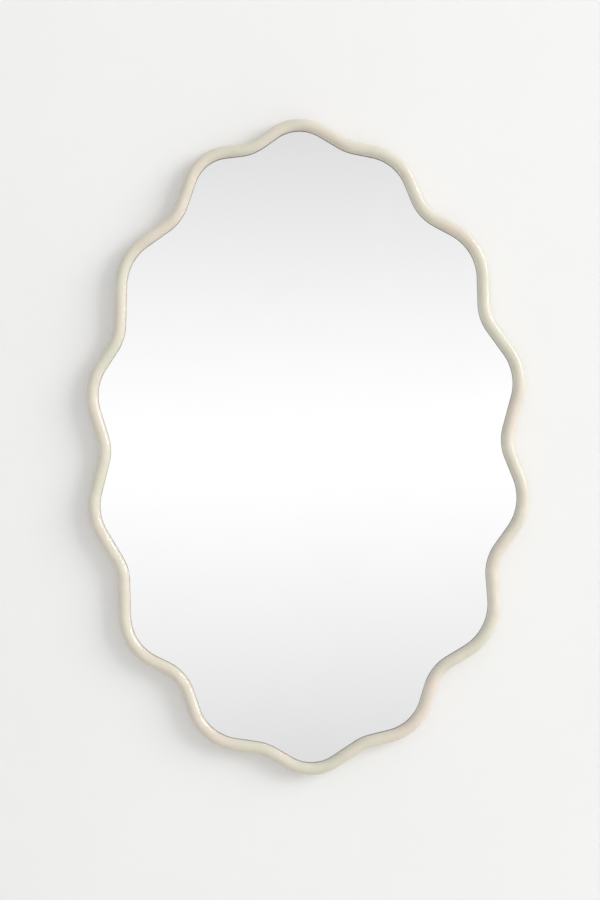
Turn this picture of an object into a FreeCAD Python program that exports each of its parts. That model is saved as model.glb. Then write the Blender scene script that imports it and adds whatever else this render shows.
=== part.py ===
import FreeCAD, Part
import math
import os
import Sketcher
from FreeCAD import Placement, Rotation, Vector

# A wall mirror with a wavy oval frame, in millimetres. The frame is one moulded ring, half round
# in front and stepped behind. The glass lies on the inner step, backed with a safety film and held
# by strips of foam tape to a board, which is screwed to the outer step. Two D rings on folded
# straps hang it, and four rubber bumpers keep it off the wall.
#
# +X is right and +Z is up, seen from the front, and the front faces -Y. The wall is the plane
# y = 0, and the origin is the point of the wall behind the middle of the frame.

doc = FreeCAD.newDocument("wavy_mirror")

# ---------------------------------------------------------------- driving dimensions

DIMENSIONS = [
    ("overall_width", 605.0, "width across the outside of the frame"),
    ("overall_height", 900.0, "height across the outside of the frame"),
    ("crest_radius", 76.0, "largest bend of the frame's centre line at a crest"),
    ("trough_radius", 60.0, "largest bend of the frame's centre line at a trough"),
    ("frame_width", 16.3, "width of the frame's face, and twice the radius of its nose"),
    ("lip_wall", 0.5, "straight wall between the half-round nose and the glass"),
    ("lip_width", 6.0, "width of the lip in front of the glass"),
    ("lip_overlap", 5.0, "how far the lip covers the glass"),
    ("skin_width", 3.0, "thickness of the frame beside the board"),
    ("arris_radius", 1.0, "rounding of the frame's outer rear edge"),
    ("glass_thickness", 4.0, "mirror glass"),
    ("film_thickness", 0.3, "safety film on the back of the glass"),
    ("tape_thickness", 1.0, "foam tape"),
    ("tape_width", 25.0, "foam tape"),
    ("tape_spacing", 85.0, "from one strip of tape to the next"),
    ("tape_inset_middle", 120.0, "from the frame's top to the middle strip's end"),
    ("tape_inset_inner", 170.0, "from the frame's top to the ends of the strips beside it"),
    ("tape_inset_outer", 260.0, "from the frame's top to the ends of the outer strips"),
    ("board_thickness", 6.0, "back board"),
    ("board_clearance", 0.5, "gap between the board's edge and the frame"),
    ("board_recess", 1.7, "from the board's back to the back of the frame"),
    ("fixing_shank_radius", 1.25, "screws that hold the board"),
    ("fixing_head_radius", 2.4, "countersunk head"),
    ("fixing_rim", 0.25, "straight edge of the countersunk head"),
    ("fixing_length", 12.0, "from the head's face to the point"),
    ("fixing_recess", 0.2, "how far the head lies below the board's face"),
    ("hole_clearance", 0.3, "a screw in the hole that it passes through"),
    ("thread_clearance", 0.08, "a screw in the hole or countersink that it is driven into"),
    ("point_gap", 1.0, "between a screw's point and the end of its hole"),
    ("hanger_inset", 172.5, "from the frame's side to the middle of a ring"),
    ("hanger_drop", 195.0, "from the frame's top to the rings' axis"),
    ("strap_thickness", 0.9, "folded steel strap"),
    ("strap_width", 12.0, "folded steel strap"),
    ("strap_length", 40.0, "from the ring's axis to the strap's lower end"),
    ("strap_corner", 4.0, "rounded corners at the strap's lower end"),
    ("strap_first_hole", 22.0, "from the ring's axis to the upper screw"),
    ("strap_hole_pitch", 11.0, "from the upper screw to the lower one"),
    ("wire_radius", 1.2, "ring's wire"),
    ("wire_play", 0.3, "between the wire and the strap's eye"),
    ("ring_opening", 19.0, "inner width of the ring"),
    ("ring_leg", 5.0, "from the ring's axis to the middle of its round end"),
    ("ring_corner", 3.0, "bend between the ring's bar and its sides"),
    ("strap_screw_shank_radius", 1.5, "screws that hold the straps"),
    ("strap_screw_head_radius", 3.1, "pan head"),
    ("strap_screw_head_height", 2.0, "pan head"),
    ("strap_screw_length", 6.0, "from below the head to the end"),
    ("bumper_height", 5.5, "rubber bumper, from the board to the wall"),
    ("bumper_skirt", 1.2, "straight edge of the bumper on the board"),
    ("bumper_base_radius", 6.5, "side on the board"),
    ("bumper_face_radius", 4.0, "side on the wall"),
    ("bumper_inset_x", 192.5, "from the frame's side to the middle of a bumper"),
    ("bumper_inset_z", 120.0, "from the frame's top or bottom to the middle of a bumper"),
]

# Corners of the frame's centre line before rounding, clockwise from the top as seen from the
# front. Crests and troughs alternate, and the hand-drawn wave is a little uneven.
CORNERS = [
    (-5, 453), (63, 411), (134, 395), (165, 317), (245, 272), (246, 173), (299, 97),
    (271, 1), (304, -86), (248, -161), (254, -261), (169, -310), (143, -390), (69, -407),
    (-2, -452), (-66, -413), (-150, -399), (-178, -310), (-255, -271), (-256, -163), (-300, -87),
    (-276, 2), (-301, 88), (-255, 155), (-250, 265), (-173, 317), (-141, 403), (-69, 410),
]

sheet = doc.addObject("Spreadsheet::Sheet", "Dimensions")
for row, (alias, value, meaning) in enumerate(DIMENSIONS, start=1):
    sheet.set(f"A{row}", meaning)
    sheet.set(f"B{row}", str(value))
    sheet.setAlias(f"B{row}", alias)
doc.recompute()


def size(alias):
    """A driving dimension, read back from the sheet."""
    return float(sheet.get(alias))


# Distances from the wall plane, counted towards the viewer.
BOARD_BACK = "Dimensions.bumper_height"
BOARD_FRONT = BOARD_BACK + " + Dimensions.board_thickness"
TAPE_FRONT = BOARD_FRONT + " + Dimensions.tape_thickness"
FILM_FRONT = TAPE_FRONT + " + Dimensions.film_thickness"

board_back = size("bumper_height")
board_front = board_back + size("board_thickness")
glass_back = board_front + size("tape_thickness") + size("film_thickness")
glass_front = glass_back + size("glass_thickness")
frame_back = board_back - size("board_recess")
frame_front = glass_front + size("lip_wall") + size("frame_width") / 2

# Offsets from the frame's centre line, positive outwards.
lip_edge = -size("frame_width") / 2
rebate_edge = lip_edge + size("lip_width")
glass_edge = lip_edge + size("lip_overlap")
frame_edge = size("frame_width") / 2
skin_edge = frame_edge - size("skin_width")
board_edge = skin_edge - size("board_clearance")
fixing_line = (rebate_edge + skin_edge) / 2

# Where the hanging rings are.
hanger_x = size("overall_width") / 2 - size("hanger_inset")
hanger_z = size("overall_height") / 2 - size("hanger_drop")
HANGER_X = "(0.5 * Dimensions.overall_width - Dimensions.hanger_inset)"


# ---------------------------------------------------------------- the wavy outline

class Bend:
    """One rounded corner: its centre, its radius (negative at a trough) and where it turns."""

    def __init__(self, before, corner, after, largest_radius, is_crest):
        towards_before = (before - corner).normalize()
        towards_after = (after - corner).normalize()
        half_angle = towards_before.getAngle(towards_after) / 2
        shorter_side = min(before.distanceToPoint(corner), after.distanceToPoint(corner))
        tangent = min(largest_radius / math.tan(half_angle), shorter_side / 2)
        radius = tangent * math.tan(half_angle)
        middle = (towards_before + towards_after).normalize()
        sign = 1 if is_crest else -1
        self.centre = corner + middle * (radius / math.sin(half_angle))
        self.radius = sign * radius
        self.first = (corner + towards_before * tangent - self.centre) * (sign / radius)
        self.last = (corner + towards_after * tangent - self.centre) * (sign / radius)
        self.top = middle * -sign

    def point(self, normal, offset):
        """The outline's point whose outward normal is given, moved outwards by offset."""
        return self.centre + normal * (self.radius + offset)


def bends(stretch_x, stretch_z):
    """The rounded corners, in the plane of the frame as (x, z, 0)."""
    corners = [Vector(x * stretch_x, z * stretch_z, 0) for x, z in CORNERS]
    radii = [size("crest_radius"), size("trough_radius")]
    found = []
    for index, corner in enumerate(corners):
        before = corners[index - 1]
        after = corners[(index + 1) % len(corners)]
        found.append(Bend(before, corner, after, radii[index % 2], index % 2 == 0))
    return found


def arc(bend, start_normal, end_normal, offset):
    """The part of a bend between two outward normals, as an arc."""
    middle_normal = (start_normal + end_normal).normalize()
    return Part.Arc(bend.point(start_normal, offset),
                    bend.point(middle_normal, offset),
                    bend.point(end_normal, offset))


def outline(wave, offset):
    """Arcs and lines round the frame, clockwise from its highest bend's top."""
    up = Vector(0, 1, 0)
    curves = [arc(wave[0], up, wave[0].last, offset)]
    for index, bend in enumerate(wave):
        following = wave[(index + 1) % len(wave)]
        start = bend.point(bend.last, offset)
        end = following.point(following.first, offset)
        if start.distanceToPoint(end) > 0.001:
            curves.append(Part.LineSegment(start, end))
        if following is not wave[0]:
            curves.append(arc(following, following.first, following.last, offset))
    curves.append(arc(wave[0], wave[0].first, up, offset))
    return curves


def fitted_wave():
    """The bends, stretched until the frame is as wide and as high as the sheet says."""
    stretch_x = 1.0
    stretch_z = 1.0
    for _ in range(12):
        wave = bends(stretch_x, stretch_z)
        box = Part.Wire([curve.toShape() for curve in outline(wave, frame_edge)]).BoundBox
        stretch_x *= size("overall_width") / box.XLength
        stretch_z *= size("overall_height") / box.YLength
    middle = box.Center
    for bend in wave:
        bend.centre -= middle
    return wave


wave = fitted_wave()
crests = wave[::2]


# ---------------------------------------------------------------- building blocks

def plane_of(body, role):
    """One of a body's own origin planes."""
    return next(item for item in body.Origin.OriginFeatures if item.Role == role)


def new_sketch(body, name, role, offset="0"):
    """A sketch on a body's plane, moved along the plane's normal by an expression.

    On XZ_Plane a sketch's x and y are X and Z, and its normal points to the viewer, -Y.
    On YZ_Plane they are Y and Z, and the normal is +X.
    """
    sketch = body.newObject("Sketcher::SketchObject", name)
    sketch.AttachmentSupport = [(plane_of(body, role), "")]
    sketch.MapMode = "FlatFace"
    sketch.setExpression("AttachmentOffset.Base.z", offset)
    return sketch


def draw_loop(sketch, points):
    """A closed polygon in a sketch."""
    for start, end in zip(points, points[1:] + points[:1]):
        sketch.addGeometry(Part.LineSegment(Vector(*start, 0), Vector(*end, 0)))


def draw_outline(sketch, offset):
    """The wavy outline in a sketch."""
    for curve in outline(wave, offset):
        sketch.addGeometry(sketch_curve(curve))


def sketch_curve(curve):
    """A line as it is, and an arc turned so that it runs anticlockwise."""
    if isinstance(curve, Part.LineSegment):
        return curve
    edge = curve.toShape()
    centre = edge.Curve.Center
    ends = [edge.valueAt(edge.FirstParameter), edge.valueAt(edge.LastParameter)]
    if edge.Curve.Axis.z < 0:
        ends.reverse()
    first, last = (math.atan2(end.y - centre.y, end.x - centre.x) for end in ends)
    if last < first:
        last += 2 * math.pi
    return Part.ArcOfCircle(Part.Circle(centre, Vector(0, 0, 1), edge.Curve.Radius), first, last)


def draw_circle(sketch, x, y, radius):
    sketch.addGeometry(Part.Circle(Vector(x, y, 0), Vector(0, 0, 1), radius))


def new_body(name):
    body = doc.addObject("PartDesign::Body", name)
    body.Label = name
    return body


def pad(body, name, sketch, length, both_ways=False):
    feature = body.newObject("PartDesign::Pad", name)
    feature.Profile = sketch
    feature.setExpression("Length", length)
    feature.Midplane = both_ways
    return feature


def pocket(body, name, sketch, length, towards_normal):
    """A pocket of a given depth, and a stop if it removes nothing."""
    doc.recompute()
    before = body.Shape.Volume
    feature = body.newObject("PartDesign::Pocket", name)
    feature.Profile = sketch
    feature.setExpression("Length", length)
    feature.Reversed = towards_normal
    doc.recompute()
    if body.Shape.Volume > before - 0.1:
        raise RuntimeError(name + " removes nothing")
    return feature


def sweep(body, name, section, path):
    """A section drawn in one sketch, carried along the path in another."""
    feature = body.newObject("PartDesign::AdditivePipe", name)
    feature.Profile = section
    feature.Spine = (path, [])
    return feature


def turned(body, name, sketch):
    """A full turn of a sketch on XZ_Plane about its own vertical axis."""
    feature = body.newObject("PartDesign::Revolution", name)
    feature.Profile = sketch
    feature.ReferenceAxis = (sketch, ["V_Axis"])
    feature.Angle = 360
    return feature


def group(name, master, places):
    """Copies of one finished piece, kept as separate solids in one sub-part."""
    copies = []
    for place in places:
        copy = master.Shape.copy()
        copy.Placement = place
        copies.append(copy)
    feature = doc.addObject("Part::Feature", name)
    feature.Label = name
    feature.Shape = Part.makeCompound(copies)
    return feature


def on_back(x, z, wall_distance):
    """Places a piece that is turned about +Z so that it points from the wall to the viewer."""
    return Placement(Vector(x, -wall_distance, z), Rotation(Vector(1, 0, 0), 90))


# ---------------------------------------------------------------- the frame

def make_frame():
    """One ring: half-round nose, lip over the glass, step for the board, pilot holes."""
    body = new_body("frame_ring")
    path = new_sketch(body, "FramePath", "XZ_Plane")
    draw_outline(path, 0)

    top = wave[0].point(Vector(0, 1, 0), 0)
    section = new_sketch(body, "FrameSection", "YZ_Plane", str(top.x))
    nose = size("frame_width") / 2
    arris = size("arris_radius")
    nose_back = frame_front - nose

    def spot(offset, wall_distance):
        return Vector(-wall_distance, top.y + offset, 0)

    corner_middle = spot(frame_edge - arris, frame_back + arris)
    slant = Vector(arris, arris, 0) * math.sqrt(0.5)
    curves = [
        Part.LineSegment(spot(lip_edge, glass_front), spot(lip_edge, nose_back)),
        Part.Arc(spot(lip_edge, nose_back), spot(0, frame_front), spot(frame_edge, nose_back)),
        Part.LineSegment(spot(frame_edge, nose_back), spot(frame_edge, frame_back + arris)),
        Part.Arc(spot(frame_edge, frame_back + arris), corner_middle + slant,
                 spot(frame_edge - arris, frame_back)),
        Part.LineSegment(spot(frame_edge - arris, frame_back), spot(skin_edge, frame_back)),
        Part.LineSegment(spot(skin_edge, frame_back), spot(skin_edge, board_front)),
        Part.LineSegment(spot(skin_edge, board_front), spot(rebate_edge, board_front)),
        Part.LineSegment(spot(rebate_edge, board_front), spot(rebate_edge, glass_front)),
        Part.LineSegment(spot(rebate_edge, glass_front), spot(lip_edge, glass_front)),
    ]
    for curve in curves:
        section.addGeometry(sketch_curve(curve))
    sweep(body, "FrameRing", section, path)

    holes = new_sketch(body, "PilotHoles", "XZ_Plane", BOARD_FRONT)
    for bend in crests:
        place = bend.point(bend.top, fixing_line)
        draw_circle(holes, place.x, place.y,
                    size("fixing_shank_radius") + size("thread_clearance"))
    depth = ("Dimensions.fixing_length + Dimensions.fixing_recess"
             " - Dimensions.board_thickness + Dimensions.point_gap")
    pocket(body, "PilotPocket", holes, depth, towards_normal=True)
    return body


# ---------------------------------------------------------------- glass, film, tape and board

def make_sheet(name, edge, back, thickness):
    """A flat wavy sheet whose edge is offset from the frame's centre line."""
    body = new_body(name)
    sketch = new_sketch(body, name + "_outline", "XZ_Plane", back)
    draw_outline(sketch, edge)
    pad(body, name + "_pad", sketch, thickness)
    return body


def make_tape(name, column, inset):
    """A strip of foam tape between the film and the board, in one of five columns."""
    body = new_body(name)
    sketch = new_sketch(body, name + "_outline", "XZ_Plane", BOARD_FRONT)
    corners = [(-1, -1), (1, -1), (1, 1), (-1, 1)]
    draw_loop(sketch, corners)
    for index in range(4):
        following = (index + 1) % 4
        sketch.addConstraint(Sketcher.Constraint("Coincident", index, 2, following, 1))
    for index in range(4):
        direction = "Horizontal" if index % 2 == 0 else "Vertical"
        sketch.addConstraint(Sketcher.Constraint(direction, index))
    bind(sketch, Sketcher.Constraint("DistanceX", 0, 1, 0, 2, 1.0), "Dimensions.tape_width")
    bind(sketch, Sketcher.Constraint("DistanceY", 1, 1, 1, 2, 1.0),
         f"Dimensions.overall_height - 2 * Dimensions.{inset}")
    sketch.addConstraint(Sketcher.Constraint("Symmetric", 0, 1, 2, 1, -1, 1))
    sketch.setExpression("AttachmentOffset.Base.x", f"{column} * Dimensions.tape_spacing")
    pad(body, name + "_pad", sketch, "Dimensions.tape_thickness")
    return body


def bind(sketch, constraint, expression):
    """Adds a dimension to a sketch and ties it to the sheet."""
    index = sketch.addConstraint(constraint)
    sketch.setExpression(f"Constraints[{index}]", expression)


def make_board():
    """The back board, drilled for its own screws and for those of the straps."""
    body = make_sheet("back_board", board_edge, BOARD_BACK, "Dimensions.board_thickness")
    through = new_sketch(body, "FixingHoles", "XZ_Plane", BOARD_BACK)
    sink = new_sketch(body, "Countersinks", "XZ_Plane", BOARD_BACK)
    hole = size("fixing_shank_radius") + size("hole_clearance")
    mouth = (size("fixing_head_radius") + size("fixing_rim") + size("fixing_recess")
             + size("thread_clearance"))
    for bend in crests:
        place = bend.point(bend.top, fixing_line)
        draw_circle(through, place.x, place.y, hole)
        draw_circle(sink, place.x, place.y, mouth)
    pocket(body, "FixingPocket", through, "Dimensions.board_thickness", towards_normal=True)
    cone = pocket(body, "CountersinkPocket", sink, str(mouth - hole), towards_normal=True)
    cone.TaperAngle = -45

    pilots = new_sketch(body, "StrapPilots", "XZ_Plane", BOARD_BACK)
    for side in (-1, 1):
        for x, z in strap_screw_places(side):
            draw_circle(pilots, x, z,
                        size("strap_screw_shank_radius") + size("thread_clearance"))
    depth = "Dimensions.strap_screw_length - Dimensions.strap_thickness + 0.5 * Dimensions.point_gap"
    pocket(body, "StrapPilotPocket", pilots, depth, towards_normal=True)
    return body


# ---------------------------------------------------------------- screws

def make_fixing_screw():
    """A countersunk screw about +Z: the head's face at zero and the point above."""
    body = new_body("fixing_screw_master")
    sketch = new_sketch(body, "FixingProfile", "XZ_Plane")
    shank = size("fixing_shank_radius")
    head = size("fixing_head_radius")
    rim = size("fixing_rim")
    length = size("fixing_length")
    cone = head - shank
    draw_loop(sketch, [(0, 0), (head, 0), (head, rim), (shank, rim + cone),
                       (shank, length - 2 * shank), (0, length)])
    turned(body, "FixingTurned", sketch)
    add_cross(body, head, 0.8 * cone)
    return body


def make_strap_screw():
    """A pan-head screw about +Z: the head's seat at zero, its shank above, its head below."""
    body = new_body("strap_screw_master")
    sketch = new_sketch(body, "StrapScrewProfile", "XZ_Plane")
    shank = size("strap_screw_shank_radius")
    head = size("strap_screw_head_radius")
    height = size("strap_screw_head_height")
    length = size("strap_screw_length")
    crown = 0.6 * height
    rim = crown - height
    points = [(0, -height), (0, length), (0.5 * shank, length), (shank, length - shank),
              (shank, 0), (head, 0), (head, rim)]
    for start, end in zip(points, points[1:]):
        sketch.addGeometry(Part.LineSegment(Vector(*start, 0), Vector(*end, 0)))
    ball = (head ** 2 + crown ** 2) / (2 * crown)
    half_way = math.asin(head / ball) / 2
    middle = Vector(ball * math.sin(half_way), ball * (1 - math.cos(half_way)) - height, 0)
    dome = Part.Arc(Vector(head, rim, 0), middle, Vector(0, -height, 0))
    sketch.addGeometry(sketch_curve(dome))
    turned(body, "StrapScrewTurned", sketch)
    add_cross(body, head, 0.55 * height, -height)
    return body


def add_cross(body, head_radius, depth, level=0.0):
    """A cross-shaped drive recess in the head's face, which lies at a level on the axis."""
    arm = 0.55 * head_radius
    half = 0.14 * head_radius
    sketch = body.newObject("Sketcher::SketchObject", body.Name + "_cross")
    sketch.AttachmentSupport = [(plane_of(body, "XY_Plane"), "")]
    sketch.MapMode = "FlatFace"
    sketch.AttachmentOffset = Placement(Vector(0, 0, level), Rotation())
    draw_loop(sketch, [(-arm, -half), (-half, -half), (-half, -arm), (half, -arm),
                       (half, -half), (arm, -half), (arm, half), (half, half),
                       (half, arm), (-half, arm), (-half, half), (-arm, half)])
    pocket(body, body.Name + "_drive", sketch, str(depth), towards_normal=True)


# ---------------------------------------------------------------- hanging straps and rings

def strap_screw_places(side):
    """The two screws of one strap, as (x, z)."""
    x = side * hanger_x
    first = hanger_z - size("strap_first_hole")
    return [(x, first), (x, first - size("strap_hole_pitch"))]


def ring_axis_distance():
    """From the wall to the axis that a ring swings about."""
    return board_back - size("strap_thickness") - size("wire_radius") - size("wire_play")


def make_strap(name, side):
    """A steel strip, flat on the board below and curled round the ring's bar above."""
    body = new_body(name)
    sketch = new_sketch(body, name + "_profile", "YZ_Plane", f"{side} * {HANGER_X}")
    thickness = size("strap_thickness")
    eye = size("wire_radius") + size("wire_play")
    axis = Vector(-ring_axis_distance(), hanger_z, 0)
    low = axis.y - size("strap_length")
    board_face = -board_back
    strap_face = board_face + thickness

    def round_axis(radius, degrees):
        """A point on the curl, turned from the board's side over the top."""
        turn = math.radians(degrees)
        return axis + Vector(-math.cos(turn), math.sin(turn), 0) * radius

    curl = 300
    curves = [
        Part.LineSegment(Vector(board_face, low, 0), round_axis(eye + thickness, 0)),
        Part.LineSegment(round_axis(eye + thickness, curl), round_axis(eye, curl)),
        Part.LineSegment(round_axis(eye, 0), Vector(strap_face, low, 0)),
        Part.LineSegment(Vector(strap_face, low, 0), Vector(board_face, low, 0)),
    ]
    for curve in curves:
        sketch.addGeometry(curve)
    for radius in (eye + thickness, eye):
        circle = Part.Circle(axis, Vector(0, 0, 1), radius)
        first = math.radians(180 - curl)
        sketch.addGeometry(Part.ArcOfCircle(circle, first, math.pi))
    pad(body, name + "_pad", sketch, "Dimensions.strap_width", both_ways=True)

    holes = new_sketch(body, name + "_holes", "XZ_Plane", BOARD_BACK)
    for x, z in strap_screw_places(side):
        draw_circle(holes, x, z, size("strap_screw_shank_radius") + size("hole_clearance"))
    drilled = pocket(body, name + "_drilled", holes, "Dimensions.strap_thickness",
                     towards_normal=False)

    corners = [f"Edge{index}" for index, edge in enumerate(body.Shape.Edges, start=1)
               if edge.BoundBox.ZMax < low + 0.01 and edge.BoundBox.XLength < 0.01]
    rounding = body.newObject("PartDesign::Fillet", name + "_rounded")
    rounding.Base = (drilled, corners)
    rounding.setExpression("Radius", "Dimensions.strap_corner")
    return body


def make_ring(name, side):
    """A D of round wire, hanging from its straight bar."""
    body = new_body(name)
    wall_distance = ring_axis_distance()
    wire = size("wire_radius")
    half = size("ring_opening") / 2 + wire
    bend = size("ring_corner")
    leg = size("ring_leg")
    bend_middle = bend * (1 - math.sqrt(0.5))

    path = new_sketch(body, name + "_path", "XZ_Plane", str(wall_distance))

    def spot(across, below):
        return Vector(side * hanger_x + across, hanger_z - below, 0)

    curves = [
        Part.LineSegment(spot(0, 0), spot(half - bend, 0)),
        Part.Arc(spot(half - bend, 0), spot(half - bend_middle, bend_middle), spot(half, bend)),
        Part.LineSegment(spot(half, bend), spot(half, leg)),
        Part.Arc(spot(half, leg), spot(0, leg + half), spot(-half, leg)),
        Part.LineSegment(spot(-half, leg), spot(-half, bend)),
        Part.Arc(spot(-half, bend), spot(bend_middle - half, bend_middle),
                 spot(bend - half, 0)),
        Part.LineSegment(spot(bend - half, 0), spot(0, 0)),
    ]
    for curve in curves:
        path.addGeometry(sketch_curve(curve))
    section = new_sketch(body, name + "_section", "YZ_Plane", f"{side} * {HANGER_X}")
    draw_circle(section, -wall_distance, hanger_z, wire)
    sweep(body, name + "_wire", section, path)
    return body


# ---------------------------------------------------------------- bumpers

def make_bumper(name, side, level):
    """A rubber dome with a flat face on the wall."""
    body = new_body(name)
    sketch = new_sketch(body, name + "_profile", "XZ_Plane")
    base = size("bumper_base_radius")
    face = size("bumper_face_radius")
    height = size("bumper_height")
    skirt = size("bumper_skirt")
    points = [(face, height), (0, height), (0, 0), (base, 0), (base, skirt)]
    for start, end in zip(points, points[1:]):
        sketch.addGeometry(Part.LineSegment(Vector(*start, 0), Vector(*end, 0)))
    bulge = math.sqrt(0.5)
    middle = Vector(face + (base - face) * bulge, skirt + (height - skirt) * bulge, 0)
    flank = Part.Arc(Vector(base, skirt, 0), middle, Vector(face, height, 0))
    sketch.addGeometry(sketch_curve(flank))
    turned(body, name + "_turned", sketch)
    x = side * (size("overall_width") / 2 - size("bumper_inset_x"))
    z = level * (size("overall_height") / 2 - size("bumper_inset_z"))
    body.Placement = Placement(Vector(x, -height, z), Rotation(Vector(1, 0, 0), -90))
    return body


# ---------------------------------------------------------------- the whole mirror

frame = make_frame()
glass = make_sheet("mirror_glass", glass_edge, FILM_FRONT, "Dimensions.glass_thickness")
film = make_sheet("safety_film", glass_edge, TAPE_FRONT, "Dimensions.film_thickness")
board = make_board()
parts = [frame, glass, film, board]

tape_insets = ["tape_inset_middle", "tape_inset_inner", "tape_inset_outer"]
for column in range(-2, 3):
    parts.append(make_tape(f"tape_strip_{column + 3}", column, tape_insets[abs(column)]))

fixing_screw = make_fixing_screw()
strap_screw = make_strap_screw()
doc.recompute()
fixing_places = []
for bend in crests:
    spot = bend.point(bend.top, fixing_line)
    fixing_places.append(on_back(spot.x, spot.y, board_back + size("fixing_recess")))
parts.append(group("board_screws", fixing_screw, fixing_places))

for side, hand in ((-1, "left"), (1, "right")):
    parts.append(make_strap("hanger_strap_" + hand, side))
    parts.append(make_ring("hanger_ring_" + hand, side))
    seat = board_back - size("strap_thickness")
    places = [on_back(x, z, seat) for x, z in strap_screw_places(side)]
    parts.append(group("hanger_screws_" + hand, strap_screw, places))
    for level, height_word in ((-1, "lower"), (1, "upper")):
        parts.append(make_bumper(f"wall_bumper_{height_word}_{hand}", side, level))

doc.recompute()
for item in doc.Objects:
    if "Invalid" in item.State or "Error" in item.State:
        raise RuntimeError(f"{item.Label} failed: {item.State}")
for part in parts:
    if part.Shape.isNull() or not part.Shape.isValid() or part.Shape.Volume <= 0:
        raise RuntimeError(part.Label + " has no valid solid")

os.makedirs("parts", exist_ok=True)
for part in parts:
    part.Shape.exportStep(f"parts/{part.Label}.step")
    box = part.Shape.BoundBox
    print(f"{part.Label:24s} {len(part.Shape.Solids):3d} solids {part.Shape.Volume / 1000:9.2f} cm3"
          f"  {box.XLength:7.2f} x {box.YLength:6.2f} x {box.ZLength:7.2f} mm")
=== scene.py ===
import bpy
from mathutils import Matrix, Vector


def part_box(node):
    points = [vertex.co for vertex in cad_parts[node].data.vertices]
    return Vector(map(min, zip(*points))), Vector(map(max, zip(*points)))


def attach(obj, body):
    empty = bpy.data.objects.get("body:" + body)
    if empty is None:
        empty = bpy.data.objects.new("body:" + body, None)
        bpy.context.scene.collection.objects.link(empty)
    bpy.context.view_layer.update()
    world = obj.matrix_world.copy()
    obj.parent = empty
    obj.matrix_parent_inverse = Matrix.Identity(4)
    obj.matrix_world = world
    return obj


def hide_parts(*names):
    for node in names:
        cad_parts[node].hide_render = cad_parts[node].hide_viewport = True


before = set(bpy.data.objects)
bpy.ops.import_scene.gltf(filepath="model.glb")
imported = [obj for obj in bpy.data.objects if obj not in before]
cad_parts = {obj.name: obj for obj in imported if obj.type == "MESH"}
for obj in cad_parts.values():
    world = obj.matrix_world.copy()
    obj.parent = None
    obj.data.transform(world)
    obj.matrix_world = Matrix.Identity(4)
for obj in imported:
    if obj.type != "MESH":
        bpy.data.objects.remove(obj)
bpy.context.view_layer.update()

import math

import bpy
from mathutils import Vector

# The looks of the wavy wall mirror. +X is right, +Z is up and the front faces -Y. The wall is the
# plane y = 0. Lengths are in metres unless a name ends in _mm.

# ---------------------------------------------------------------- light levels

AMBIENT = 0.73
KEY_WATTS = 455.0
KEY_COLOUR = (1.0, 0.995, 0.985)
WINDOW_WATTS = 190.0
REAR_WATTS = 24.0

# ---------------------------------------------------------------- the frame's section and outline

OVERALL_MM = (605.0, 900.0)
CREST_RADIUS_MM = 76.0
TROUGH_RADIUS_MM = 60.0

# Corners of the frame's centre line before rounding, clockwise from the top as seen from the
# front. Crests and troughs alternate.
CORNERS_MM = [
    (-5, 453), (63, 411), (134, 395), (165, 317), (245, 272), (246, 173), (299, 97),
    (271, 1), (304, -86), (248, -161), (254, -261), (169, -310), (143, -390), (69, -407),
    (-2, -452), (-66, -413), (-150, -399), (-178, -310), (-255, -271), (-256, -163), (-300, -87),
    (-276, 2), (-301, 88), (-255, 155), (-250, 265), (-173, 317), (-141, 403), (-69, 410),
]

# Distances across the frame's face, from its centre line outwards.
FACE_HALF_MM = 8.15
REBATE_EDGE_MM = -2.15
GLASS_EDGE_MM = -3.15
SKIN_EDGE_MM = 5.15

# Distances from the wall.
FRAME_BACK_MM = 3.8
BOARD_FRONT_MM = 11.5
GLASS_BACK_MM = 12.8
LIP_BACK_MM = 16.8
NOSE_BACK_MM = 17.3

# Glass bends the light, so the silvering seems to lie this far behind the front of a 4 mm pane.
APPARENT_DEPTH_MM = 2.6


class Bend:
    """One rounded corner of the centre line; its radius is negative at a trough."""

    def __init__(self, before, corner, after, largest_radius, is_crest):
        towards_before = (before - corner).normalized()
        towards_after = (after - corner).normalized()
        half_angle = towards_before.angle(towards_after) / 2
        shorter_side = min((before - corner).length, (after - corner).length)
        tangent = min(largest_radius / math.tan(half_angle), shorter_side / 2)
        radius = tangent * math.tan(half_angle)
        sign = 1 if is_crest else -1
        middle = (towards_before + towards_after).normalized()
        self.centre = corner + middle * (radius / math.sin(half_angle))
        self.radius = sign * radius
        self.first = (corner + towards_before * tangent - self.centre) * (sign / radius)
        self.last = (corner + towards_after * tangent - self.centre) * (sign / radius)

    def stations(self, step_mm):
        """(centre line point, outward normal) along the bend, both ends included."""
        turn = self.first.angle(self.last)
        count = max(2, math.ceil(abs(self.radius) * turn / step_mm))
        found = []
        for index in range(count + 1):
            share = index / count
            normal = (self.first * math.sin((1 - share) * turn)
                      + self.last * math.sin(share * turn)) / math.sin(turn)
            found.append((self.centre + normal * self.radius, normal))
        return found


def outline_stations(step_mm):
    """Stations all round the frame, clockwise, stretched and centred as the CAD outline is."""
    stretch = [1.0, 1.0]
    rounds_to_settle = 12
    for _ in range(rounds_to_settle):
        corners = [Vector((x * stretch[0], z * stretch[1])) for x, z in CORNERS_MM]
        found = []
        for index, corner in enumerate(corners):
            is_crest = index % 2 == 0
            radius = CREST_RADIUS_MM if is_crest else TROUGH_RADIUS_MM
            after = corners[(index + 1) % len(corners)]
            found += Bend(corners[index - 1], corner, after, radius, is_crest).stations(step_mm)
        outside = [point + normal * FACE_HALF_MM for point, normal in found]
        lows = [min(point[axis] for point in outside) for axis in (0, 1)]
        highs = [max(point[axis] for point in outside) for axis in (0, 1)]
        for axis in (0, 1):
            stretch[axis] *= OVERALL_MM[axis] / (highs[axis] - lows[axis])
    middle = Vector(((lows[0] + highs[0]) / 2, (lows[1] + highs[1]) / 2))
    return fill_gaps([(point - middle, normal) for point, normal in found], step_mm)


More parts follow.
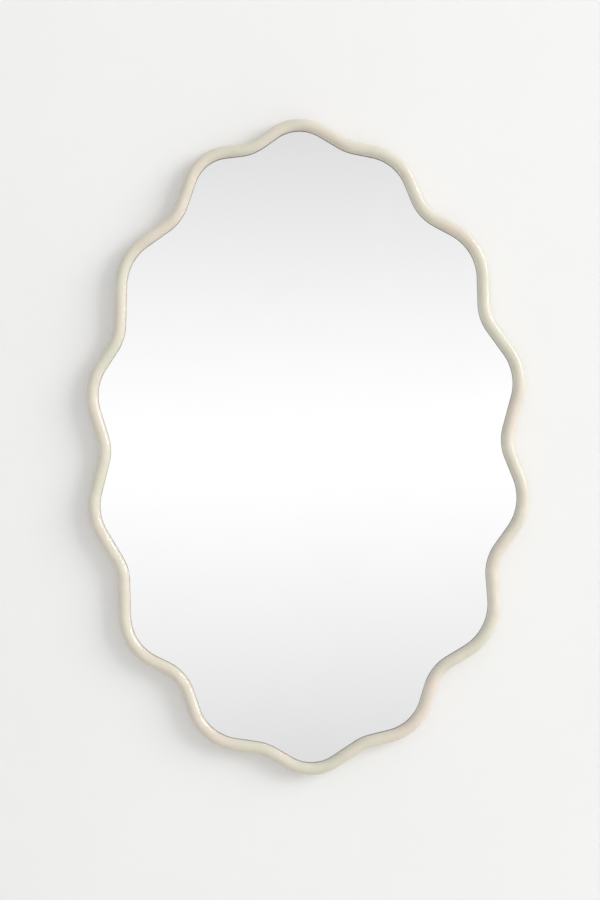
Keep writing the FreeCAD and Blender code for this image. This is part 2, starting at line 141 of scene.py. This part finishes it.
def fill_gaps(stations, step_mm):
    """Adds stations on the straight stretches and drops those that coincide."""
    coincide_mm = 0.05
    filled = []
    for index, (point, normal) in enumerate(stations):
        following, following_normal = stations[(index + 1) % len(stations)]
        gap = (following - point).length
        if gap < coincide_mm:
            continue
        count = max(1, round(gap / (1.5 * step_mm)))
        for part in range(count):
            share = part / count
            filled.append((point.lerp(following, share),
                           normal.lerp(following_normal, share).normalized()))
    return filled


def spot(station, offset_mm, wall_distance_mm):
    """A point of the object, from a station, an offset outwards and a distance from the wall."""
    point, normal = station
    x, z = point + normal * offset_mm
    return Vector((x, -wall_distance_mm, z)) / 1000


def rounded(centre, radius, from_degrees, to_degrees, count):
    """Points of an arc in the section's plane, as (offset, wall distance)."""
    points = []
    for index in range(count + 1):
        angle = math.radians(from_degrees + (to_degrees - from_degrees) * index / count)
        points.append((centre[0] + radius * math.cos(angle), centre[1] + radius * math.sin(angle)))
    return points


def frame_section():
    """The frame's section, from the lip's rear edge over the nose to the back and the step."""
    arris = 0.15
    rear = 1.0
    skin = 0.3
    points = rounded((-FACE_HALF_MM + arris, LIP_BACK_MM + arris), arris, 270, 180, 4)
    points += rounded((0, NOSE_BACK_MM), FACE_HALF_MM, 180, 0, 36)
    points += [(FACE_HALF_MM, FRAME_BACK_MM + share * (NOSE_BACK_MM - FRAME_BACK_MM))
               for share in (0.75, 0.5, 0.25)]
    points += rounded((FACE_HALF_MM - rear, FRAME_BACK_MM + rear), rear, 0, -90, 5)
    points += rounded((SKIN_EDGE_MM + skin, FRAME_BACK_MM + skin), skin, 270, 180, 2)
    points += [(SKIN_EDGE_MM, BOARD_FRONT_MM), (REBATE_EDGE_MM, BOARD_FRONT_MM),
               (REBATE_EDGE_MM, LIP_BACK_MM)]
    return points


def link_mesh(name, points, faces, smooth_below=35):
    mesh = bpy.data.meshes.new(name)
    mesh.from_pydata(points, [], faces)
    mesh.validate()
    mesh.polygons.foreach_set("use_smooth", [True] * len(mesh.polygons))
    mesh.set_sharp_from_angle(angle=math.radians(smooth_below))
    obj = bpy.data.objects.new(name, mesh)
    bpy.context.scene.collection.objects.link(obj)
    return obj


def hand_sanded(index, count, angle_share):
    """How far the nose lies under its true form, 0 to about 0.25 mm, all round and across."""
    ripple_mm = 0.06
    turn = 2 * math.pi * index / count
    long_waves = math.sin(17 * turn) + math.sin(41 * turn + 1.3)
    along = (long_waves + 0.6 * math.sin(83 * turn + 0.4)) / 2.6
    across = math.sin(math.pi * angle_share) * math.sin(29 * turn + 5 * angle_share)
    return ripple_mm * (2 + along + across)


def make_moulding(stations):
    """The frame: its section carried all round, with a slightly uneven hand-finished nose."""
    section = frame_section()
    across = len(section)
    points = []
    for index, station in enumerate(stations):
        for offset, wall_distance in section:
            if wall_distance > NOSE_BACK_MM:
                share = math.atan2(wall_distance - NOSE_BACK_MM, offset) / math.pi
                sanded = hand_sanded(index, len(stations), share) * math.sin(math.pi * share)
                short = 1 - sanded / FACE_HALF_MM
                offset *= short
                wall_distance = NOSE_BACK_MM + (wall_distance - NOSE_BACK_MM) * short
            points.append(spot(station, offset, wall_distance))
    faces = []
    for index in range(len(stations)):
        here = index * across
        there = (index + 1) % len(stations) * across
        for corner in range(across):
            beside = (corner + 1) % across
            faces.append((here + corner, there + corner, there + beside, here + beside))
    moulding = link_mesh("frame_moulding", points, faces)
    moulding.data.materials.append(lacquer())
    # The steps under the lip take the dark rebate paint, which is also painted shade in the gap.
    moulding.data.materials.append(rebate_paint_and_painted_shade())
    hidden_faces = 3
    for polygon in moulding.data.polygons:
        if polygon.index % across >= across - hidden_faces:
            polygon.material_index = 1
    return moulding


def make_pane(stations):
    """The mirror: a flat sheet under the lip, with its silvering where it seems to lie."""
    front = LIP_BACK_MM - APPARENT_DEPTH_MM
    bevel = 0.3
    rings = [(GLASS_EDGE_MM - bevel, GLASS_BACK_MM), (GLASS_EDGE_MM, GLASS_BACK_MM + bevel),
             (GLASS_EDGE_MM, front - bevel), (GLASS_EDGE_MM - bevel, front)]
    count = len(stations)
    points = [spot(station, offset, distance) for offset, distance in rings for station in stations]
    faces = []
    for ring in range(len(rings) - 1):
        for index in range(count):
            beside = (index + 1) % count
            lower = ring * count
            upper = lower + count
            faces.append((lower + index, upper + index, upper + beside, lower + beside))
    faces.append(tuple(range(count)))
    faces.append(tuple(reversed(range(3 * count, 4 * count))))
    return link_mesh("mirror_pane", points, faces, smooth_below=20)


def make_foam_strip(name, node):
    """A strip of foam tape, squeezed so that its edges belly out, with hand-cut sides."""
    low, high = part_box(node)
    belly = 0.0003
    corner = 0.0010
    step = 0.006
    levels = 6
    half_width = (high[0] - low[0]) / 2
    half_height = (high[2] - low[2]) / 2
    middle = Vector(((low[0] + high[0]) / 2, 0, (low[2] + high[2]) / 2))
    outline = []
    for quarter, (side_x, side_z) in enumerate(((1, 1), (-1, 1), (-1, -1), (1, -1))):
        centre = (side_x * (half_width - corner), side_z * (half_height - corner))
        outline += rounded(centre, corner, 90 * quarter, 90 * quarter + 90, 4)
    filled = []
    for index, (x, z) in enumerate(outline):
        next_x, next_z = outline[(index + 1) % len(outline)]
        count = max(1, round(math.hypot(next_x - x, next_z - z) / step))
        for part in range(count):
            share = part / count
            at = z + (next_z - z) * share
            ragged = 1 - 0.012 * (1 + math.sin(410 * at)) * math.sin(math.pi * share)
            filled.append(((x + (next_x - x) * share) * ragged, at))
    points = []
    for level in range(levels + 1):
        share = level / levels
        y = low[1] + share * (high[1] - low[1])
        inset = belly * (1 - math.sin(math.pi * share))
        for x, z in filled:
            points.append(middle + Vector((x * (1 - inset / half_width), y,
                                           z * (1 - inset / half_height))))
    count = len(filled)
    faces = []
    for level in range(levels):
        for index in range(count):
            here = level * count + index
            beside = level * count + (index + 1) % count
            faces.append((here, here + count, beside + count, beside))
    faces.append(tuple(range(count)))
    faces.append(tuple(reversed(range(levels * count, (levels + 1) * count))))
    return link_mesh(name, points, faces)


# ---------------------------------------------------------------- materials

class Look:
    """A node-based material being put together."""

    def __init__(self, name, **sockets):
        self.material = bpy.data.materials.new(name)
        self.material.use_nodes = True
        self.tree = self.material.node_tree
        self.shader = self.tree.nodes["Principled BSDF"]
        for socket, value in sockets.items():
            self.shader.inputs[socket.replace("_", " ")].default_value = value
        self.place = self.tree.nodes.new("ShaderNodeTexCoord").outputs["Object"]

    def node(self, kind, **inputs):
        made = self.tree.nodes.new(kind)
        for name, value in inputs.items():
            socket = made.inputs[name.replace("_", " ")]
            if isinstance(value, bpy.types.NodeSocket):
                self.tree.links.new(value, socket)
            else:
                socket.default_value = value
        return made

    def stretched(self, x, y, z):
        """The object's coordinates, scaled along each axis."""
        mapping = self.node("ShaderNodeMapping", Vector=self.place, Scale=(x, y, z))
        return mapping.outputs["Vector"]

    def noise(self, scale, detail=3.0, roughness=0.5, place=None):
        made = self.node("ShaderNodeTexNoise", Vector=place or self.place, Scale=scale,
                         Detail=detail, Roughness=roughness)
        return made.outputs["Fac"]

    def ramp(self, factor, *stops):
        """Colours or grey levels, as (position, value), along a factor."""
        made = self.node("ShaderNodeValToRGB", Fac=factor)
        elements = made.color_ramp.elements
        while len(elements) < len(stops):
            elements.new(0.5)
        for element, (position, value) in zip(elements, stops):
            element.position = position
            element.color = (*value, 1) if isinstance(value, tuple) else (value, value, value, 1)
        return made.outputs["Color"]

    def mix(self, factor, first, second, blend="MIX"):
        made = self.node("ShaderNodeMix")
        made.data_type = "RGBA"
        made.blend_type = blend
        for index, value in ((0, factor), (6, first), (7, second)):
            if isinstance(value, bpy.types.NodeSocket):
                self.tree.links.new(value, made.inputs[index])
            else:
                made.inputs[index].default_value = (*value, 1) if index else value
        return made.outputs[2]

    def set(self, socket, source):
        self.tree.links.new(source, self.shader.inputs[socket])

    def math(self, operation, *values):
        made = self.tree.nodes.new("ShaderNodeMath")
        made.operation = operation
        for socket, value in zip(made.inputs, values):
            if isinstance(value, bpy.types.NodeSocket):
                self.tree.links.new(value, socket)
            else:
                socket.default_value = value
        return made.outputs[0]

    def clear_where(self, factor):
        """Makes the surface see-through where the factor is 1."""
        clear = self.node("ShaderNodeBsdfTransparent").outputs["BSDF"]
        choice = self.node("ShaderNodeMixShader", Fac=factor)
        self.tree.links.new(self.shader.outputs["BSDF"], choice.inputs[1])
        self.tree.links.new(clear, choice.inputs[2])
        output = self.tree.nodes["Material Output"].inputs["Surface"]
        self.tree.links.new(choice.outputs["Shader"], output)

    def bump(self, height, depth, strength=1.0, under=None):
        """Relief of a height map, depth in metres."""
        made = self.node("ShaderNodeBump", Height=height, Distance=depth, Strength=strength)
        if under is not None:
            self.tree.links.new(under, made.inputs["Normal"])
        self.set("Normal", made.outputs["Normal"])
        return made.outputs["Normal"]


def lacquer():
    look = Look("frame_lacquer", Roughness=0.42, Coat_Weight=0.70, Coat_Roughness=0.08,
                Specular_IOR_Level=0.30)
    patches = look.noise(16.0, detail=2.0, roughness=0.4)
    hue = look.ramp(patches, (0.30, (0.752, 0.668, 0.572)), (0.5, (0.735, 0.690, 0.578)),
                    (0.70, (0.695, 0.686, 0.560)))
    cloud = look.noise(38.0, detail=4.0)
    shade = look.ramp(cloud, (0.25, (0.90, 0.90, 0.89)), (0.75, (1.0, 1.0, 1.0)))
    speck = look.ramp(look.noise(900.0, detail=2.0), (0.70, (1.0, 1.0, 1.0)),
                      (0.82, (0.86, 0.84, 0.80)))
    tone = look.mix(1.0, hue, shade, "MULTIPLY")
    look.set("Base Color", look.mix(1.0, tone, speck, "MULTIPLY"))
    look.set("Roughness", look.ramp(look.noise(60.0), (0.3, 0.34), (0.7, 0.46)))
    orange_peel = look.noise(420.0, detail=2.0)
    brushed = look.noise(70.0, detail=3.0)
    under = look.bump(brushed, 0.0006, 0.35)
    look.bump(orange_peel, 0.00014, 0.55, under)
    return look.material


def rebate_paint_and_painted_shade():
    """The dull dark paint of the steps under the lip, a blackened rebate that is also painted shade
    in the gap, turning to cream painted light low on the left.
    """
    look = Look("rebate_paint_and_painted_shade", Roughness=0.8, Specular_IOR_Level=0.2)
    strokes = look.noise(180.0, detail=4.0)
    # Dark paint of a blackened rebate, which also serves as painted shade in the gap under the lip.
    dark = look.ramp(strokes, (0.3, (0.165, 0.156, 0.134)), (0.7, (0.235, 0.223, 0.190)))
    # Painted light and shade: cream low on the left, where the key lamp would reach under the lip,
    # and dark towards the upper right.
    slope = look.node("ShaderNodeVectorMath", Vector=look.place)
    slope.operation = "DOT_PRODUCT"
    slope.inputs[1].default_value = (2.2, 0.0, 0.9)
    painted_shade_slope = look.math("ADD", slope.outputs["Value"], look.math("MULTIPLY", strokes, 0.3))
    painted_light_share = look.node("ShaderNodeMapRange", Value=painted_shade_slope, From_Min=-0.35, From_Max=0.65, To_Min=1.0,
                      To_Max=0.0)
    look.set("Base Color", look.mix(painted_light_share.outputs["Result"], dark, (0.74, 0.70, 0.60)))
    look.bump(strokes, 0.0002, 0.4)
    return look.material


def mirror():
    look = Look("mirror_glass", Metallic=1.0, Roughness=0.015)
    haze = look.noise(6.0, detail=3.0)
    look.set("Base Color", look.ramp(haze, (0.3, (0.955, 0.962, 0.958)),
                                     (0.7, (0.972, 0.976, 0.972))))
    smears = look.noise(3.0, detail=6.0, place=look.stretched(1.0, 1.0, 5.0))
    look.set("Roughness", look.ramp(smears, (0.35, 0.006), (0.75, 0.022)))
    return look.material


def fibreboard():
    look = Look("fibreboard", Roughness=0.75, Specular_IOR_Level=0.3)
    fibres = look.noise(430.0, detail=9.0, roughness=0.72, place=look.stretched(1.0, 1.0, 0.7))
    body = look.ramp(fibres, (0.30, (0.215, 0.125, 0.062)), (0.50, (0.300, 0.185, 0.098)),
                     (0.72, (0.400, 0.262, 0.150)))
    clouds = look.ramp(look.noise(14.0, detail=5.0), (0.3, (0.86, 0.85, 0.83)),
                       (0.7, (1.06, 1.06, 1.06)))
    flecks = look.ramp(look.noise(1400.0, detail=2.0), (0.66, (1.0, 1.0, 1.0)),
                       (0.78, (0.52, 0.47, 0.42)))
    tone = look.mix(1.0, body, clouds, "MULTIPLY")
    look.set("Base Color", look.mix(1.0, tone, flecks, "MULTIPLY"))
    look.set("Roughness", look.ramp(fibres, (0.3, 0.62), (0.7, 0.86)))
    look.bump(look.noise(700.0, detail=6.0), 0.0003, 0.5)
    return look.material


def plated(name, colour, tint, roughness, grain=(1.0, 1.0, 1.0)):
    """Plated steel with a fine drawn grain, soft stains and tiny dents."""
    look = Look(name, Metallic=1.0, Roughness=roughness)
    grained = look.noise(1500.0, detail=4.0, place=look.stretched(*grain))
    stains = look.noise(120.0, detail=5.0)
    tone = look.ramp(grained, (0.3, tuple(level * 0.86 for level in colour)), (0.7, colour))
    look.set("Base Color", look.mix(look.ramp(stains, (0.45, 0.0), (0.75, 0.7)), tone, tint))
    look.set("Roughness", look.ramp(stains, (0.3, roughness - 0.07), (0.7, roughness + 0.10)))
    under = look.bump(grained, 0.00004, 0.35)
    look.bump(look.noise(300.0, detail=2.0), 0.00008, 0.25, under)
    return look.material


def rubber():
    look = Look("bumper_rubber", Roughness=0.55, Specular_IOR_Level=0.45)
    soft = look.noise(160.0, detail=4.0)
    look.set("Base Color", look.ramp(soft, (0.3, (0.300, 0.300, 0.285)),
                                     (0.7, (0.370, 0.370, 0.352))))
    look.set("Roughness", look.ramp(soft, (0.3, 0.45), (0.7, 0.66)))
    look.bump(look.noise(1800.0, detail=3.0), 0.00006, 0.5)
    return look.material


def film():
    look = Look("safety_film", Roughness=0.6)
    weave = look.node("ShaderNodeTexWave", Vector=look.place, Scale=260.0, Distortion=1.2,
                      Detail=2.0).outputs["Fac"]
    look.set("Base Color", look.ramp(weave, (0.2, (0.140, 0.160, 0.175)),
                                     (0.8, (0.180, 0.203, 0.220))))
    look.bump(weave, 0.00005, 0.5)
    return look.material


def foam():
    look = Look("foam_tape", Roughness=0.9, Specular_IOR_Level=0.2)
    cells = look.node("ShaderNodeTexVoronoi", Vector=look.place, Scale=1600.0).outputs["Distance"]
    look.set("Base Color", look.ramp(cells, (0.1, (0.58, 0.58, 0.55)), (0.6, (0.72, 0.72, 0.69))))
    look.bump(cells, 0.0002, 0.6)
    return look.material


# ---------------------------------------------------------------- stage, lamps and camera

def plane(name, corners, material):
    obj = link_mesh(name, [Vector(corner) for corner in corners], [(0, 1, 2, 3)])
    obj.data.materials.append(material)
    return obj


def wall_look():
    """Pale paint, seen from the front alone, so that the object's back can be looked at.

    Its colour is painted shade far to the right, darker where the key lamp is near, to tone that
    lamp's light down.
    """
    gap_depth = 0.012
    look = Look("stage_wall", Roughness=0.85, Specular_IOR_Level=0.2)
    paint = look.ramp(look.noise(3.0), (0.3, (0.885, 0.885, 0.880)), (0.7, (0.900, 0.900, 0.896)))
    # Painted shade: the wall's colour darkens to grey from 0.5 m to 3 m to the right, near the key
    # lamp.
    across = look.node("ShaderNodeSeparateXYZ", Vector=look.place).outputs["X"]
    painted_shade_far_right = look.node("ShaderNodeMapRange", Value=across, From_Min=0.5, From_Max=3.0)
    look.set("Base Color", look.mix(painted_shade_far_right.outputs["Result"], paint, (0.60, 0.60, 0.595)))
    behind = look.node("ShaderNodeNewGeometry").outputs["Backfacing"]
    path = look.node("ShaderNodeLightPath")
    near = look.math("LESS_THAN", path.outputs["Ray Length"], gap_depth)
    gap = look.math("MULTIPLY", near, look.math("SUBTRACT", 1.0, path.outputs["Is Camera Ray"]))
    look.clear_where(look.math("MAXIMUM", behind, gap))
    return look.material


def floor_look(inner_radius, outer_radius):
    """A pale floor that fades out towards its rim."""
    look = Look("stage_floor", Roughness=0.8, Specular_IOR_Level=0.2)
    look.set("Base Color", look.ramp(look.noise(2.0), (0.3, (0.74, 0.74, 0.73)),
                                     (0.7, (0.76, 0.76, 0.75))))
    across = look.node("ShaderNodeVectorMath", Vector=look.stretched(1.0, 1.0, 0.0))
    across.operation = "LENGTH"
    fade = look.node("ShaderNodeMapRange", Value=across.outputs["Value"], From_Min=inner_radius,
                     From_Max=outer_radius)
    look.clear_where(fade.outputs["Result"])
    return look.material


def make_stage():
    reach = 4.0
    behind_object = 0.0004
    floor_level = -1.25
    low = (-reach, behind_object, floor_level)
    high = (reach, behind_object, reach)
    wall = plane("stage_wall", [low, (reach, *low[1:]), high, (-reach, *high[1:])], wall_look())
    wall.visible_diffuse = False
    wall.visible_transmission = False
    wall.visible_shadow = False
    corners = [(-reach, -reach), (reach, -reach), (reach, reach), (-reach, reach)]
    plane("stage_floor", [(x, y, floor_level) for x, y in corners], floor_look(2.4, reach))


def area_lamp(name, place, width, height, watts, colour=(1.0, 1.0, 1.0)):
    """A lamp that faces the middle of the object."""
    data = bpy.data.lights.new(name, "AREA")
    data.shape = "RECTANGLE"
    data.size = width
    data.size_y = height
    data.energy = watts
    data.color = colour
    lamp = bpy.data.objects.new(name, data)
    lamp.location = place
    lamp.rotation_euler = (-Vector(place)).to_track_quat("-Z", "Y").to_euler()
    lamp.visible_camera = False
    bpy.context.scene.collection.objects.link(lamp)
    return lamp


def make_lamps():
    """A soft key from the right, a tall strip for the gloss alone, and a fill for the back."""
    key = area_lamp("key", (7.2, -4.2, 2.7), 5.2, 4.8, KEY_WATTS, KEY_COLOUR)
    key.visible_glossy = False
    window = area_lamp("window", (6.0, -0.95, 2.6), 0.45, 4.2, WINDOW_WATTS)
    window.visible_diffuse = False
    area_lamp("rear_fill", (-0.4, 2.6, 0.9), 3.4, 3.4, REAR_WATTS)


def make_world():
    """Soft light for matt surfaces; mirrors see white at eye level, and the camera pale grey."""
    eye_level = 1.05
    darkest = 0.62
    fall_height = 0.185
    fall_depth = 0.28
    fall_power = 1.25
    towards_key = 0.06
    shown_to_camera = 0.9
    world = bpy.data.worlds.new("studio")
    bpy.context.scene.world = world
    world.use_nodes = True
    tree = world.node_tree

    def math_node(operation, *values):
        made = tree.nodes.new("ShaderNodeMath")
        made.operation = operation
        for socket, value in zip(made.inputs, values):
            if isinstance(value, bpy.types.NodeSocket):
                tree.links.new(value, socket)
            else:
                socket.default_value = value
        return made.outputs[0]

    def background(strength):
        made = tree.nodes.new("ShaderNodeBackground")
        made.inputs["Color"].default_value = (1.0, 1.0, 1.0, 1)
        if isinstance(strength, bpy.types.NodeSocket):
            tree.links.new(strength, made.inputs["Strength"])
        else:
            made.inputs["Strength"].default_value = strength
        return made.outputs[0]

    def choose(factor, first, second):
        made = tree.nodes.new("ShaderNodeMixShader")
        for socket, value in zip(made.inputs, (factor, first, second)):
            tree.links.new(value, socket)
        return made.outputs[0]

    direction = tree.nodes.new("ShaderNodeTexCoord").outputs["Generated"]
    parts = tree.nodes.new("ShaderNodeSeparateXYZ")
    tree.links.new(direction, parts.inputs[0])
    height = math_node("ABSOLUTE", parts.outputs["Z"])
    fall = math_node("POWER", math_node("DIVIDE", height, fall_height), fall_power)
    faded = math_node("SUBTRACT", eye_level, math_node("MULTIPLY", fall, fall_depth))
    lower_left = math_node("ADD", math_node("MULTIPLY", parts.outputs["X"], -0.55),
                           math_node("MULTIPLY", parts.outputs["Z"], -0.80))
    past = math_node("MAXIMUM", math_node("SUBTRACT", lower_left, 0.3), 0.0)
    floor_glow = math_node("MULTIPLY", math_node("MINIMUM", past, 0.4), 0.9)
    seen = math_node("ADD", math_node("MAXIMUM", faded, darkest), floor_glow)
    even = math_node("MULTIPLY_ADD", parts.outputs["X"], towards_key * AMBIENT, AMBIENT)
    path = tree.nodes.new("ShaderNodeLightPath")
    mirrored = math_node("MAXIMUM", path.outputs["Is Glossy Ray"],
                         path.outputs["Is Transmission Ray"])
    light = choose(mirrored, background(even), background(seen))
    shown = choose(path.outputs["Is Camera Ray"], light, background(shown_to_camera))
    tree.links.new(shown, tree.nodes["World Output"].inputs["Surface"])


def make_camera():
    """Straight in front, framed so that the object stands where it does in the photograph."""
    image_size = (600, 900)
    object_middle = (307.45, 446.85)
    metres_per_pixel = 0.9 / 656.25
    tilt = math.radians(1.15)
    distance = 2.2
    outline_plane = -0.018
    sensor_height = 24.0
    data = bpy.data.cameras.new("camera")
    data.sensor_fit = "VERTICAL"
    data.sensor_height = sensor_height
    data.lens = sensor_height * distance / (image_size[1] * metres_per_pixel)
    camera = bpy.data.objects.new("camera", data)
    right = (object_middle[0] - image_size[0] / 2) * metres_per_pixel
    up = (image_size[1] / 2 - object_middle[1]) * metres_per_pixel
    across = right * math.cos(tilt) + up * math.sin(tilt)
    along = up * math.cos(tilt) - right * math.sin(tilt)
    camera.location = (-across, outline_plane - distance, -along)
    camera.rotation_euler = (math.pi / 2, tilt, 0)
    bpy.context.scene.collection.objects.link(camera)
    bpy.context.scene.camera = camera


make_camera()
make_world()
make_stage()
make_lamps()
bpy.context.scene.view_settings.view_transform = "Standard"

# ---------------------------------------------------------------- the object

STATION_STEP_MM = 2.2
stations = outline_stations(STATION_STEP_MM)
moulding = make_moulding(stations)
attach(moulding, "mirror")
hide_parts("frame_ring")

pane = make_pane(stations)
pane.data.materials.append(mirror())
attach(pane, "mirror")
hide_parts("mirror_glass")

tape = foam()
for number in range(1, 6):
    strip = make_foam_strip(f"foam_strip_{number}", f"tape_strip_{number}")
    strip.data.materials.append(tape)
    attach(strip, "mirror")
    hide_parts(f"tape_strip_{number}")

screw_steel = plated("screw_steel", (0.62, 0.60, 0.50), (0.58, 0.50, 0.30), 0.30)
hanger_steel = plated("hanger_steel", (0.60, 0.61, 0.63), (0.50, 0.51, 0.53), 0.34,
                      grain=(1.0, 1.0, 0.08))
ring_steel = plated("ring_steel", (0.66, 0.66, 0.65), (0.60, 0.58, 0.54), 0.22)
node_looks = {
    "safety_film": film(),
    "back_board": fibreboard(),
    "board_screws": screw_steel,
    "hanger_screws": hanger_steel,
    "hanger_strap": hanger_steel,
    "hanger_ring": ring_steel,
    "wall_bumper": rubber(),
}
for name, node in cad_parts.items():
    for start, material in node_looks.items():
        if name.startswith(start):
            node.data.materials.clear()
            node.data.materials.append(material)
